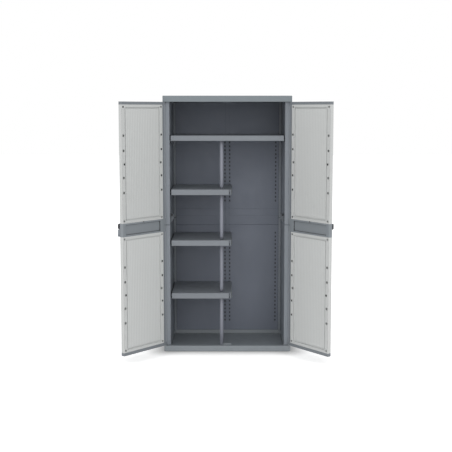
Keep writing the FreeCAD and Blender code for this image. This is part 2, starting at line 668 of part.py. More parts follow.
def panel_liner(z0):
    """Inner half of a door panel: a hollow border, a gutter round a raised field, peg holes."""
    z1 = z0 + panel_height
    skin = PANEL_SKIN
    w = GUTTER_WIDTH
    gutter_y = door_inner_y - GUTTER_DEPTH
    field_y = door_inner_y - FIELD_DEPTH
    x0, x1 = door_free_x + PANEL_BORDER, liner_x - PANEL_BORDER
    low, high = z0 + PANEL_END_BORDER, z1 - PANEL_END_BORDER
    liner = block(door_free_x, liner_x, stile_inner_y, door_inner_y, z0, z1)
    liner = bevel_upright_edges(liner, [(door_free_x, door_inner_y), (liner_x, door_inner_y)])
    recess = block(x0, x1, gutter_y, door_inner_y + 1, low, high)
    liner = liner.cut(recess.cut(block(x0 + w, x1 - w, gutter_y - 1, field_y, low + w, high - w)))
    behind = block(door_free_x + skin, liner_x - skin, stile_inner_y - 1, gutter_y - skin,
                   z0 + skin, z1 - skin)
    in_border = block(door_free_x + skin, liner_x - skin, gutter_y - 2 * skin, door_inner_y - skin,
                      z0 + skin, z1 - skin)
    in_border = in_border.cut(block(x0 - skin, x1 + skin, stile_inner_y, door_inner_y,
                                    low - skin, high + skin))
    in_field = block(x0 + w + skin, x1 - w - skin, gutter_y - 2 * skin, field_y - skin,
                     low + w + skin, high - w - skin)
    liner = liner.cut([behind, in_border, in_field])
    middle = (z0 + z1) / 2
    half = PEG_HOLE / 2
    drills = []
    for step in PEG_HOLE_STEPS + (panel_height / 2 - PEG_HOLE_FROM_END,):
        inward = MIDDLE_PEG_SHIFT if step == 0 else 0
        for x in (door_free_x + PANEL_BORDER / 2 + inward, liner_x - PANEL_BORDER / 2 - inward):
            for z in {middle - step, middle + step}:
                drills.append(block(x - half, x + half, door_inner_y - 2 * skin, door_inner_y + 1,
                                    z - half, z + half))
    return liner.cut(drills).removeSplitter()


def end_rail(z0, height, pin_z, pin_height, open_side):
    """Rail over the end of the panels, with the hinge pin and open pockets on its outer side."""
    z1 = z0 + height
    rail = door_bar(z0, z1)
    wall = 2.6
    deep = height - 5
    low = z1 - deep if open_side > 0 else z0 - 1
    high = z1 + 1 if open_side > 0 else z0 + deep
    ends = [door_free_x + wall] + spread(door_free_x, liner_x, 250.0) + [liner_x]
    pockets = [block(a + wall / 2, b - wall, door_outer_y + wall, stile_inner_y, low, high)
               for a, b in zip(ends, ends[1:])]
    rail = rail.cut(pockets)
    return rail.fuse(post(pin_x, pin_y, pin_z, pin_z + pin_height, END_PIN_RADIUS)).removeSplitter()


def top_rail():
    return end_rail(door_top - TOP_RAIL, TOP_RAIL, door_top - 2, END_PIN_LENGTH + 2, 1)


def bottom_rail():
    return end_rail(door_bottom, BOTTOM_RAIL, door_bottom - END_PIN_LENGTH, END_PIN_LENGTH + 2, -1)


def door_band():
    """Band across the middle of the door, with a recessed field inside and the middle knuckles."""
    band = door_bar(band_bottom, band_top)
    floor_y = door_inner_y - GUTTER_DEPTH
    field = block(door_free_x + PANEL_BORDER, liner_x - PANEL_BORDER, floor_y, door_inner_y + 1,
                  band_bottom + BAND_BORDER, band_top - BAND_BORDER)
    notch_x = (door_free_x + liner_x) / 2
    notch = block(notch_x - BAND_NOTCH / 2, notch_x + BAND_NOTCH / 2, floor_y, door_inner_y + 1,
                  band_top - BAND_BORDER / 2, band_top + 1)
    slot_half = EAR_THICKNESS / 2 + 0.5
    reach = KNUCKLE_RADIUS + 1
    slot = block(pin_x - reach, pin_x + reach, pin_y - reach, pin_y + reach,
                 band_middle - slot_half, band_middle + slot_half)
    half = MIDDLE_PIN_LENGTH / 2
    bore = post(pin_x, pin_y, band_middle - half - SEAT, band_top + 1,
                MIDDLE_PIN_RADIUS + RUNNING_CLEARANCE)
    thick = 2 * PANEL_SKIN
    hollow = block(door_free_x + thick, liner_x - thick, door_outer_y + thick, floor_y - PANEL_SKIN,
                   band_bottom - 1, band_top + 1)
    webs = [block(x - PANEL_SKIN / 2, x + PANEL_SKIN / 2, door_outer_y, door_inner_y, band_bottom, band_top)
            for x in spread(door_free_x + thick, liner_x - thick, 200.0)]
    return band.cut([field, notch, slot, bore, hollow.cut(webs)]).removeSplitter()


def lock_lug(proud):
    """Screwed plate with an upright ear at the door's free edge, bored for a padlock."""
    x0 = door_free_x
    x1 = x0 + LOCK_LUG_LENGTH
    z0 = lug_top - LOCK_LUG_HEIGHT
    plate = block(x0, x1, fitting_y - 3, fitting_y, z0, lug_top)
    plate = plate.makeChamfer(6.0, [e for e in plate.Edges if e.BoundBox.XMin > x1 - 0.01
                                    and e.BoundBox.YLength > 1])
    ear = block(x0, x0 + LOCK_LUG_WALL, door_outer_y - proud, fitting_y, z0, lug_top)
    outer = [e for e in ear.Edges if e.BoundBox.YMax < door_outer_y - proud + 0.01
             and e.BoundBox.XLength > 1]
    ear = ear.makeChamfer(proud / 3, outer)
    gussets = []
    for z in (z0, lug_top - 4):
        points = [Vector(x0 + LOCK_LUG_WALL - 1, fitting_y - 2, z)]
        points.append(Vector(x0 + LOCK_LUG_WALL + proud, fitting_y - 2, z))
        points.append(Vector(x0 + LOCK_LUG_WALL - 1, door_outer_y - proud * 0.6, z))
        gussets.append(Part.Face(Part.makePolygon(points + points[:1])).extrude(Vector(0, 0, 4)))
    lug = plate.fuse([ear] + gussets)
    eye = Part.makeCylinder(LOCK_EYE_RADIUS, LOCK_LUG_WALL + 2,
                            Vector(x0 - 1, door_outer_y - LOCK_EYE_OUT, lug_middle), Vector(1, 0, 0))
    return lug.cut(eye).removeSplitter()


def pull_handle():
    """Grip with a finger pocket behind its end wall and a curved tail along the band."""
    pocket_x0 = door_free_x + HANDLE_END_WALL
    pocket_end = pocket_x0 + HANDLE_POCKET
    start = Vector(door_free_x, fitting_y, handle_bottom)
    nose = Vector(door_free_x, handle_y, handle_bottom)
    shoulder = Vector(pocket_end + 22, handle_y, handle_bottom)
    tail_edge = Vector(door_free_x + HANDLE_LENGTH, fitting_y - 2, handle_bottom)
    tail = Vector(door_free_x + HANDLE_LENGTH, fitting_y, handle_bottom)
    bow = Vector((shoulder.x + tail.x) / 2 + 4, (handle_y + fitting_y) / 2 - 4, handle_bottom)
    edges = [Part.LineSegment(start, nose).toShape(), Part.LineSegment(nose, shoulder).toShape(),
             Part.Arc(shoulder, bow, tail_edge).toShape(), Part.LineSegment(tail_edge, tail).toShape(),
             Part.LineSegment(tail, start).toShape()]
    grip = Part.Face(Part.Wire(edges)).extrude(Vector(0, 0, handle_height))
    front_rims = [e for e in grip.Edges if e.BoundBox.YMax < handle_y + 0.01 and e.BoundBox.XLength > 1]
    grip = grip.makeChamfer(2.5, front_rims)
    pocket = block(pocket_x0, pocket_end, handle_y - 5, fitting_y - HANDLE_WALL / 2,
                   handle_bottom + HANDLE_WALL, handle_bottom + handle_height - HANDLE_WALL)
    end_hole = Part.makeCylinder(HANDLE_HOLE_RADIUS, HANDLE_END_WALL + 2,
                                 Vector(door_free_x - 1, (handle_y + fitting_y) / 2,
                                        handle_bottom + HANDLE_WALL + HANDLE_HOLE_RADIUS + 1),
                                 Vector(1, 0, 0))
    return grip.cut([pocket, end_hole]).removeSplitter()


def middle_pin():
    half = MIDDLE_PIN_LENGTH / 2
    return post(pin_x, pin_y, band_middle - half, band_middle + half, MIDDLE_PIN_RADIUS)


def opened(shape, side):
    """Turn a closed right-hand door piece to its open place, on the right or mirrored left."""
    turned = shape.copy()
    angle = RIGHT_OPEN_ANGLE if side == "right" else LEFT_OPEN_ANGLE
    turned.rotate(Vector(pin_x, pin_y, 0), Vector(0, 0, 1), angle)
    return turned if side == "right" else mirrored(turned)


# Cabinet
lower_holes = hole_heights(LOWER_FIRST_HOLE, BACK_SEAM_HEIGHT - HOLES_END_BELOW_SEAM)
upper_holes = hole_heights(UPPER_FIRST_HOLE, roof_under - HOLES_END_BELOW_ROOF)
save("base_tray", base_tray())
save("roof_top", roof_top())
clip_holes_lower = [nearest_hole(lower_holes, z) for z in HALF_SHELF_CLIPS_LOWER]
clip_holes_upper = [nearest_hole(upper_holes, HALF_SHELF_CLIP_UPPER), upper_holes[-1]]
right_lower = side_panel(BASE_HEIGHT, SEAM_HEIGHT, clip_holes_lower, True)
right_upper = side_panel(SEAM_HEIGHT, roof_under, clip_holes_upper, False)
save("right_side_lower", right_lower)
save("right_side_upper", right_upper)
save("left_side_lower", mirrored(right_lower))
save("left_side_upper", mirrored(right_upper))
save("back_lower_right", back_panel(BASE_HEIGHT, BACK_SEAM_HEIGHT, lower_holes, lower_holes, ()))
save("back_lower_left", mirrored(back_panel(BASE_HEIGHT, BACK_SEAM_HEIGHT, lower_holes,
                                            clip_holes_lower, ())))
save("back_upper_right", back_panel(BACK_SEAM_HEIGHT, roof_under, upper_holes, upper_holes,
                                    BACK_RIB_LINES))
save("back_upper_left", mirrored(back_panel(BACK_SEAM_HEIGHT, roof_under, upper_holes,
                                            clip_holes_upper, BACK_RIB_LINES)))
save("back_joiner_lower", back_joiner(BASE_HEIGHT, BACK_SEAM_HEIGHT))
save("back_joiner_upper", back_joiner(BACK_SEAM_HEIGHT, roof_under))
right_spigots = seam_spigots()
save("right_seam_spigots", right_spigots)
save("left_seam_spigots", [mirrored(plug) for plug in right_spigots])
save("right_wall_lug", wall_lug())
save("left_wall_lug", mirrored(wall_lug()))
save("right_hinge_ear", hinge_ear())
save("left_hinge_ear", mirrored(hinge_ear()))

# Shelves, their clips and the pole
high_clip_z, full_clip_z = clip_holes_upper
half_clip_z = clip_holes_lower + [high_clip_z]
full_top = clip_top(full_clip_z) + SHELF_SIDE_LIP + SEAT / 3
half_tops = [clip_top(z) + SHELF_SIDE_LIP + SEAT / 3 for z in half_clip_z]
save("full_shelf", full_shelf(full_top))
for name, top in zip(("half_shelf_low", "half_shelf_middle", "half_shelf_high"), half_tops):
    save(name, half_shelf(top))
clips = []
for z in half_clip_z:
    clips.append(wall_clip(z, -1))
    clips.append(back_clip(-corner_column, z))
    clips.append(back_clip(HOLE_COLUMN_BY_JOINER, z))
for side in (-1, 1):
    clips.append(wall_clip(full_clip_z, side))
    clips.append(back_clip(side * corner_column, full_clip_z))
    clips.append(back_clip(side * HOLE_COLUMN_BY_JOINER, full_clip_z))
save("shelf_clips", clips)
plate_under = full_top - SHELF_PLATE
pole_top = plate_under - POLE_TOP_BELOW_PLATE
save("divider_pole", pole(pole_top))
save("pole_foot", pole_foot())
save("pole_head", pole_head(plate_under))

# Doors
lower_panel_z = door_bottom + BOTTOM_RAIL
door_pieces = {
    "door_upper_shell": panel_shell(band_top),
    "door_upper_liner": panel_liner(band_top),
    "door_lower_shell": panel_shell(lower_panel_z),
    "door_lower_liner": panel_liner(lower_panel_z),
    "door_top_rail": top_rail(),
    "door_bottom_rail": bottom_rail(),
    "door_band": door_band(),
    "middle_hinge_pin": middle_pin(),
}
for side, proud in (("left", LEFT_LUG_PROUD), ("right", RIGHT_LUG_PROUD)):
    for name, shape in door_pieces.items():
        save(side + "_" + name, opened(shape, side))
    save(side + "_lock_lug", opened(lock_lug(proud), side))
save("left_pull_handle", opened(pull_handle(), "left"))
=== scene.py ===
# %% [markdown]
# # A garden storage cabinet with both doors open
# The cabinet is a tall plastic cupboard for tools and brooms. Its shape comes as a fixed
# frame of moulded pieces. This lesson gives each piece the skin of real moulded plastic,
# adds the small screws and marks that a drawing leaves out, and sets up the picture.

# %% Load the frame and keep its box
import json
import math

import bmesh
import bpy
from mathutils import Matrix, Vector


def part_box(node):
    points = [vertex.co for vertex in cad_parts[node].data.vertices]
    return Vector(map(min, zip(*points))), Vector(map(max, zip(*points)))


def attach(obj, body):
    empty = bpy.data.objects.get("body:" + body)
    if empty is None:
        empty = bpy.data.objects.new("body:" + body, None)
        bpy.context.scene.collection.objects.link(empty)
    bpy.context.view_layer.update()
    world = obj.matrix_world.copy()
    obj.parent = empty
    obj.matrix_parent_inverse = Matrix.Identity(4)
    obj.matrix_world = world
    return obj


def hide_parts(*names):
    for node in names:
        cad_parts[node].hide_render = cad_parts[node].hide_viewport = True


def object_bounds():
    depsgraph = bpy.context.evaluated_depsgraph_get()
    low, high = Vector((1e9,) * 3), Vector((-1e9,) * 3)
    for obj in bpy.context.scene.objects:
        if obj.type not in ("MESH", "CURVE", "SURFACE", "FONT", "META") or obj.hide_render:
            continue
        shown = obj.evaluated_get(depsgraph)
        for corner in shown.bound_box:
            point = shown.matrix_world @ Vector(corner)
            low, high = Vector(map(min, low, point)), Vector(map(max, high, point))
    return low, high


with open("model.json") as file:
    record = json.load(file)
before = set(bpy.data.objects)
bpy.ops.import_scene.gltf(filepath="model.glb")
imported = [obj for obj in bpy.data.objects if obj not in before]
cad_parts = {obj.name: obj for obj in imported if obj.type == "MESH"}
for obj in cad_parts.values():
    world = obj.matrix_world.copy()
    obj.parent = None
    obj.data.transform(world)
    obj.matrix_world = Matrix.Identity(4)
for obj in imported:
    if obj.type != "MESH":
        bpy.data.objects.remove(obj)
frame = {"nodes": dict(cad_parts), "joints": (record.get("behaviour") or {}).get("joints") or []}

nodes_of_cabinet = frame["nodes"]
frame_low, frame_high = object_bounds()
print("pieces in the frame:", len(nodes_of_cabinet))
print("size of the frame in metres:", [round(v, 4) for v in frame_high - frame_low])

# %% [markdown]
# ## How to write colours
# A colour picker shows display values from 0 to 255, but a shader works with linear light.
# One small function turns the first into the second, so that the values below can be read
# as ordinary greys.

# %% Display colours to shader colours
def grey_tone(red, green, blue):
    linear = []
    for value in (red, green, blue):
        share = value / 255
        linear.append(share / 12.92 if share <= 0.04045 else ((share + 0.055) / 1.055) ** 2.4)
    return (*linear, 1.0)


print("middle grey as linear light:", [round(v, 3) for v in grey_tone(128, 128, 128)[:3]])

# %% [markdown]
# ## Small tools for node materials
# A node material is a short chain: a place on the piece goes in, a pattern comes out, and the
# shader takes it. A few helpers make the nodes and wire them, which keeps each recipe below
# short enough to read in one look.

# %% Node helpers
class Recipe:
    """A new material with its shader and short ways to add nodes to it."""

    def __init__(self, name):
        self.material = bpy.data.materials.new(name)
        self.material.use_nodes = True
        self.tree = self.material.node_tree
        self.shader = self.tree.nodes["Principled BSDF"]
        self.place = self.node("ShaderNodeTexCoord").outputs["Object"]

    def node(self, kind, inputs=None, **settings):
        made = self.tree.nodes.new(kind)
        for name, value in settings.items():
            setattr(made, name, value)
        for name, value in (inputs or {}).items():
            if isinstance(value, bpy.types.NodeSocket):
                self.tree.links.new(value, made.inputs[name])
            else:
                made.inputs[name].default_value = value
        return made

    def noise(self, scale, detail=2.0, stretch=None, rough=0.5):
        place = self.place
        if stretch:
            place = self.node("ShaderNodeMapping", {"Vector": place, "Scale": stretch}).outputs[0]
        return self.node("ShaderNodeTexNoise", {"Vector": place, "Scale": scale, "Detail": detail,
                                                "Roughness": rough}).outputs["Fac"]

    def ramp(self, value, low, high, to_low=0.0, to_high=1.0):
        return self.node("ShaderNodeMapRange", {"Value": value, "From Min": low, "From Max": high,
                                                "To Min": to_low, "To Max": to_high}).outputs[0]

    def maths(self, how, first, second=0.0):
        return self.node("ShaderNodeMath", {0: first, 1: second}, operation=how).outputs[0]

    def apart(self, first, second):
        """How far two numbers are from each other, without a sign."""
        return self.maths("ABSOLUTE", self.maths("SUBTRACT", first, second))

    def height(self):
        """Height of each place of the piece."""
        return self.node("ShaderNodeSeparateXYZ", {"Vector": self.place}).outputs["Z"]

    def mix(self, share, first, second):
        made = self.node("ShaderNodeMix", data_type="RGBA")
        for index, value in ((0, share), (6, first), (7, second)):
            if isinstance(value, bpy.types.NodeSocket):
                self.tree.links.new(value, made.inputs[index])
            else:
                made.inputs[index].default_value = value
        return made.outputs[2]

    def feed(self, socket, value):
        self.tree.links.new(value, self.shader.inputs[socket])


def toned(colour, factor):
    return (*[min(1.0, c * factor) for c in colour[:3]], 1.0)


# %% [markdown]
# ## Moulded plastic
# The real pieces are injection moulded from coloured plastic. The steel mould was spark
# eroded, so the skin has a very fine matt grain. The colour is in the plastic itself, yet it is
# never quite even: it drifts a little over a large piece, and faint flow lines run from where
# the plastic came in. It could be painted on with an image, but a recipe of nodes works at any
# distance and needs no unwrapping, so each mark is one short branch here.

# %% Colour that drifts, with flow lines
UPRIGHT_FLOW = (2.0, 2.0, 0.25)
FLOW_LINE_STRENGTH = 0.35


def drifting_colour(recipe, colour, drift, flow):
    patches = recipe.ramp(recipe.noise(2.4, 3.0), 0.3, 0.7)
    base = recipe.mix(patches, toned(colour, 1 - drift), toned(colour, 1 + drift))
    lines = recipe.ramp(recipe.noise(7.0, 4.0, flow, 0.6), 0.42, 0.75, 0.0, FLOW_LINE_STRENGTH)
    return recipe.mix(lines, base, toned(colour, 1 - 1.6 * drift))


# %% [markdown]
# A moulded edge is never sharp: the mould has a small radius, about a millimetre. A bevel node
# bends the shading over that radius, so the mesh can stay simple. Where the bent direction and
# the true one differ there is an edge, and the same difference tells where hands have rubbed.

# %% Soft, rubbed edges
EDGE_RADIUS = 0.0011
RUBBED_LIKENESS = (0.995, 0.93)
RUBBED_PALER_BY = 1.7


def soft_edges(recipe):
    """The bent direction, the true one and how alike they are."""
    bent = recipe.node("ShaderNodeBevel", {"Radius": EDGE_RADIUS}, samples=4).outputs[0]
    flat = recipe.node("ShaderNodeNewGeometry").outputs["Normal"]
    likeness = recipe.node("ShaderNodeVectorMath", {0: bent, 1: flat}, operation="DOT_PRODUCT")
    return bent, flat, likeness.outputs["Value"]


def rub_edges(recipe, base, likeness, colour, amount):
    edge = recipe.ramp(likeness, *RUBBED_LIKENESS, 0.0, amount)
    scuffs = recipe.ramp(recipe.noise(38.0, 3.0), 0.35, 0.65)
    return recipe.mix(recipe.maths("MULTIPLY", edge, scuffs), base,
                      toned(colour, RUBBED_PALER_BY))


# %% [markdown]
# Dust stays on faces that look up. Narrow places get painted shade and dirt: the peg holes, the gutters of
# the doors, the seams. An occlusion node measures how much of the near surroundings is blocked, over a
# little more than a centimetre, and darkens only what is enclosed more than an ordinary inside corner.

# %% Dust above, painted shade and dirt in narrow places
DUST_COLOUR = grey_tone(168, 163, 152)
SHADE_AND_DIRT_REACH = 0.013
SHADE_AND_DIRT_BEGINS = 0.72
SHADE_AND_DIRT_FULL_AFTER = 0.32
SHADED_AND_DIRTY = 0.12


def settle_dust(recipe, base, flat, amount):
    upward = recipe.node("ShaderNodeSeparateXYZ", {"Vector": flat}).outputs["Z"]
    settled = recipe.ramp(upward, 0.5, 0.95, 0.0, amount)
    patches = recipe.ramp(recipe.noise(11.0, 4.0), 0.38, 0.72)
    return recipe.mix(recipe.maths("MULTIPLY", settled, patches), base, DUST_COLOUR)


def paint_shade_and_dirt_in_narrow_places(recipe, base, colour, reach=SHADE_AND_DIRT_REACH, amount=0.8, begins=SHADE_AND_DIRT_BEGINS):
    # Painted shade and dirt: the more a place is enclosed, the darker its colour is painted.
    open_share = recipe.node("ShaderNodeAmbientOcclusion", {"Distance": reach}, samples=8).outputs["AO"]
    enclosed = recipe.ramp(open_share, begins, begins - SHADE_AND_DIRT_FULL_AFTER, 0.0, amount)
    return recipe.mix(enclosed, base, toned(colour, SHADED_AND_DIRTY))


# %% [markdown]
# The grain is made of tiny rounded cells with a finer noise on top, pressed into the surface
# by a bump node. Its depth is a tenth of a millimetre, so it only shows as a soft sheen from
# far away and as leather-like pits up close.

# %% Spark-eroded grain and sheen
GRAIN_SIZE = 0.0011
GRAIN_DEPTH = 0.00012
PLASTIC_IOR = 1.49
PLASTIC_GLOSS = 0.42
SEAM_EDGE, SEAM_CORE, SEAM_STRENGTH = 0.0034, 0.0016, 0.75


def grain_height(recipe, size):
    cells = recipe.node("ShaderNodeTexVoronoi", {"Vector": recipe.place, "Scale": 1 / size},
                        feature="SMOOTH_F1").outputs["Distance"]
    return recipe.maths("ADD", cells, recipe.noise(2.2 / size, 2.0))


def press(recipe, height, depth, normal, strength=0.35):
    return recipe.node("ShaderNodeBump", {"Height": height, "Strength": strength, "Distance": depth,
                                          "Normal": normal}).outputs[0]


def finish_skin(recipe, base, normal, shine):
    recipe.feed("Base Color", base)
    recipe.feed("Roughness", recipe.ramp(recipe.noise(17.0, 3.0), 0.3, 0.7, shine - 0.05, shine + 0.07))
    recipe.feed("Normal", normal)
    recipe.shader.inputs["IOR"].default_value = PLASTIC_IOR
    recipe.shader.inputs["Specular IOR Level"].default_value = PLASTIC_GLOSS
    return recipe.material


def dark_seam(recipe, base, colour, height):
    away = recipe.apart(recipe.height(), height)
    return recipe.mix(recipe.ramp(away, SEAM_EDGE, SEAM_CORE, 0.0, SEAM_STRENGTH), base, toned(colour, 0.3))


def moulded_skin(name, colour, shine=0.5, drift=0.05, flow=UPRIGHT_FLOW, grain=GRAIN_SIZE,
                 depth=GRAIN_DEPTH, rubbed=0.10, dust=0.08, reach=SHADE_AND_DIRT_REACH, begins=SHADE_AND_DIRT_BEGINS,
                 seam=None, last_coat=None):
    recipe = Recipe(name)
    base = drifting_colour(recipe, colour, drift, flow)
    bent, flat, likeness = soft_edges(recipe)
    base = rub_edges(recipe, base, likeness, colour, rubbed)
    base = settle_dust(recipe, base, flat, dust)
    base = paint_shade_and_dirt_in_narrow_places(recipe, base, colour, reach, begins=begins)
    if seam is not None:
        base = dark_seam(recipe, base, colour, seam)
    if last_coat is not None:
        base = last_coat(recipe, base)
    return finish_skin(recipe, base, press(recipe, grain_height(recipe, grain), depth, bent), shine)


# %% [markdown]
# ## The colours of the cabinet
# The walls, the base, the roof and the frames of the doors are a cool middle grey. Their greys are set a
# little apart from one another as painted light and painted shade, to even out how the light falls on each
# piece. The back wall is bluer, the pole too. The door panels are a pale grey, the lugs on the side walls a
# dark grey, and the locking pieces and hinge pins are nearly black.

# %% Make the plain plastics
cool_grey = moulded_skin("cool_grey_plastic", grey_tone(135, 141, 148))
seam_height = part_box("right_side_lower")[1].z
side_grey = moulded_skin("side_grey_plastic", grey_tone(135, 141, 148), seam=seam_height)
# The roof and rail greys are set darker and the base grey paler than the middle grey: painted shade and
# painted light.
roof_grey = moulded_skin("roof_grey_plastic", grey_tone(130, 138, 143))
base_grey = moulded_skin("base_grey_plastic", grey_tone(142, 148, 153), dust=0.0)
rail_grey = moulded_skin("rail_grey_plastic", grey_tone(127, 132, 137))
band_grey = moulded_skin("band_grey_plastic", grey_tone(136, 142, 147), reach=0.02, begins=0.8)
wall_grey = moulded_skin("wall_grey_plastic", grey_tone(118, 124, 136), rubbed=0.05)
shelf_grey = moulded_skin("shelf_grey_plastic", grey_tone(132, 137, 143), flow=(0.25, 2.0, 2.0),
                          dust=0.02)
pole_blue_grey = moulded_skin("pole_grey_plastic", grey_tone(143, 146, 157), shine=0.38,
                              grain=0.0007, depth=0.00006)
lug_grey = moulded_skin("dark_lug_plastic", grey_tone(84, 89, 95), shine=0.46)
near_black = moulded_skin("near_black_plastic", grey_tone(52, 55, 60), shine=0.42, drift=0.06,
                          rubbed=0.2)
print("plain plastics made:", len(bpy.data.materials))

# %% [markdown]
# ## Where a door stands
# The doors stand turned, so whatever lies on a door is easiest to place from its hinge: so far
# along the door, so far out from the pin, so high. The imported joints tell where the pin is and
# how far the door has turned from its closed place.

# %% The turned directions of a door
def door_directions(side):
    """Hinge point, direction to the free edge and outward direction of a door as it stands."""
    joint = next(j for j in frame["joints"] if j["name"] == side + "_door_hinge")
    turn = Matrix.Rotation(-joint["axis"][2] * math.radians(joint["range_deg"][0]), 3, "Z")
    towards = 1.0 if side == "left" else -1.0
    return Vector(joint["pos_m"]), turn @ Vector((towards, 0.0, 0.0)), turn @ Vector((0.0, -1.0, 0.0))


for side in ("left", "right"):
    hinge, along, outward = door_directions(side)
    print(side, "door runs along", [round(v, 3) for v in along], "and looks", [round(v, 3) for v in outward])

# %% [markdown]
# ## The stile beside the hinge
# Between the hinge pin and the thick part of a door runs a thin stile. Its inner face looks into the narrow
# gap beside the post, where shade falls, so it is painted dark while the rest of the door stays pale. It is
# painted darker the deeper it lies in the gap: painted shade. The painted face is found by measuring from
# the pin, once along the door and once outward from it, so it needs no second piece and no unwrapping.

# %% Shells with painted shade on the stile face
STILE_END_FROM_HINGE = 0.038
STILE_FACE_FROM_PIN = -0.008
STILE_SHADE_FROM_HINGE = (0.002, 0.016)
STILE_SHADE_TONES = (grey_tone(146, 151, 157), grey_tone(124, 129, 135))


def distance_along(recipe, start, direction):
    """How far each place of the piece lies from a point, measured in one direction."""
    reach = recipe.node("ShaderNodeVectorMath", {0: recipe.place, 1: direction}, operation="DOT_PRODUCT")
    return recipe.maths("SUBTRACT", reach.outputs["Value"], start.dot(direction))


def shade_stile_face(side):
    """A last coat for one door that paints shade on the inner face of its stile."""
    hinge, along, outward = door_directions(side)

    def coat(recipe, base):
        from_hinge = distance_along(recipe, hinge, along)
        beside = recipe.ramp(from_hinge, STILE_END_FROM_HINGE, STILE_END_FROM_HINGE - 0.001)
        inner = recipe.ramp(distance_along(recipe, hinge, outward), STILE_FACE_FROM_PIN + 0.0025,
                            STILE_FACE_FROM_PIN + 0.001)
        # Painted shade: darker the deeper the stile lies in the gap beside the post.
        stile_shade = recipe.mix(recipe.ramp(from_hinge, *STILE_SHADE_FROM_HINGE), *STILE_SHADE_TONES)
        return recipe.mix(recipe.maths("MULTIPLY", beside, inner), base, stile_shade)

    return coat


shell_skins = {side: moulded_skin(side + "_shell_plastic", grey_tone(204, 206, 205), shine=0.52,
                                  drift=0.015, rubbed=0.2, dust=0.04, last_coat=shade_stile_face(side))
               for side in ("left", "right")}
print("shell skins:", [m.name for m in shell_skins.values()])

# %% [markdown]
# ## Fluted door panels
# The field in the middle of each inner door panel has fine upright flutes. On the real panel they are less
# than a millimetre high and keep the broad sheet from shimmering. They could be modelled, but many thin ribs
# would only make the mesh heavy. Here they belong to the skin: the distance from the hinge drives a wave,
# the wave lifts the surface, and its valleys are painted a little darker as painted shade. Two soft-edged
# windows, one across and one upright, keep it inside the field.

# %% Wave and window for the flutes
FLUTE_PITCH = 0.016
FIELD_FROM_HINGE = (0.079, 0.3955)
FIELD_END_BORDER = 0.029
FLUTE_LIFT = 0.0007
VALLEY_SHADE_STRENGTH = 0.24


def window(recipe, value, low, high, soft=0.002):
    rise = recipe.ramp(value, low - soft, low + soft)
    fall = recipe.ramp(value, high + soft, high - soft)
    return recipe.maths("MULTIPLY", rise, fall)


def flute_wave(recipe, side, low, high):
    """Height of the flutes from 0 to 1, and how much of them shows at each place."""
    hinge, along, _ = door_directions(side)
    distance = distance_along(recipe, hinge, along)
    turns = recipe.maths("MULTIPLY", distance, 2 * math.pi / FLUTE_PITCH)
    wave = recipe.ramp(recipe.maths("SINE", turns), -1.0, 1.0)
    upright = window(recipe, recipe.height(), low + FIELD_END_BORDER, high - FIELD_END_BORDER)
    return wave, recipe.maths("MULTIPLY", window(recipe, distance, *FIELD_FROM_HINGE), upright)


# %% [markdown]
# The border round the field is hollow, and the peg holes open into it. Hardly any light gets
# in there, so whatever lies in the border deeper than its own skin is made dark. Depth is again
# a distance from the hinge, this time measured outward. The holes in the corners look lighter,
# so near the ends of a panel the dark is only about a third as strong.

# %% Dark inside of the hollow border
BORDER_FACE_FROM_PIN = -0.0214
BORDERS_FROM_HINGE = ((0.0388, 0.0668), (0.4078, 0.4356))
BORDER_SKIN = (0.0003, 0.0009)
CORNER_PART = 0.03
CORNER_STRENGTH = 0.35


def inside_border(recipe, side, low, high):
    hinge, along, outward = door_directions(side)
    distance = distance_along(recipe, hinge, along)
    depth = recipe.maths("SUBTRACT", distance_along(recipe, hinge, outward), BORDER_FACE_FROM_PIN)
    deep = recipe.ramp(depth, *BORDER_SKIN)
    strips = [window(recipe, distance, *span, soft=0.0002) for span in BORDERS_FROM_HINGE]
    middle_part = window(recipe, recipe.height(), low + CORNER_PART, high - CORNER_PART)
    away_from_ends = recipe.ramp(middle_part, 0, 1, CORNER_STRENGTH, 1)
    return recipe.maths("MULTIPLY", away_from_ends,
                        recipe.maths("MULTIPLY", deep, recipe.maths("MAXIMUM", *strips)))


# %% [markdown]
# Round each square peg hole the pale plastic gets a dark rim. Part of it is painted shade that makes the
# hole read larger and darker, and part is dirt rubbed in by the pegs of the hooks and baskets that hang
# there. The holes stand at fixed steps above and below the middle of a panel, in two columns, and the middle
# pair is set a little inward. For each step the larger of the two distances from a hole gives a square rim;
# the nearest hole counts. The holes in the corners get no rim.

# %% Rims of painted shade and dirt round the peg holes
PEG_COLUMNS_FROM_HINGE = (0.053, 0.422)
PEG_STEPS_AND_SHIFTS = ((0.0, 0.007), (0.09, 0.0), (0.19, 0.0))
HALF_PEG_HOLE = 0.006
RIM_WIDTH = 0.0026
RIM_STRENGTH = 0.75


def peg_rims_of_shade_and_dirt(recipe, side, low, high):
    hinge, along, _ = door_directions(side)
    distance = distance_along(recipe, hinge, along)
    from_middle = recipe.apart(recipe.height(), (low + high) / 2)
    nearest = 1.0
    for step, shift in PEG_STEPS_AND_SHIFTS:
        first, last = PEG_COLUMNS_FROM_HINGE[0] + shift, PEG_COLUMNS_FROM_HINGE[1] - shift
        aside = [recipe.apart(distance, column) for column in (first, last)]
        above = recipe.apart(from_middle, step)
        square = recipe.maths("MAXIMUM", above, recipe.maths("MINIMUM", *aside))
        nearest = recipe.maths("MINIMUM", square, nearest)
    return recipe.ramp(nearest, HALF_PEG_HOLE + RIM_WIDTH, HALF_PEG_HOLE, 0.0, RIM_STRENGTH)


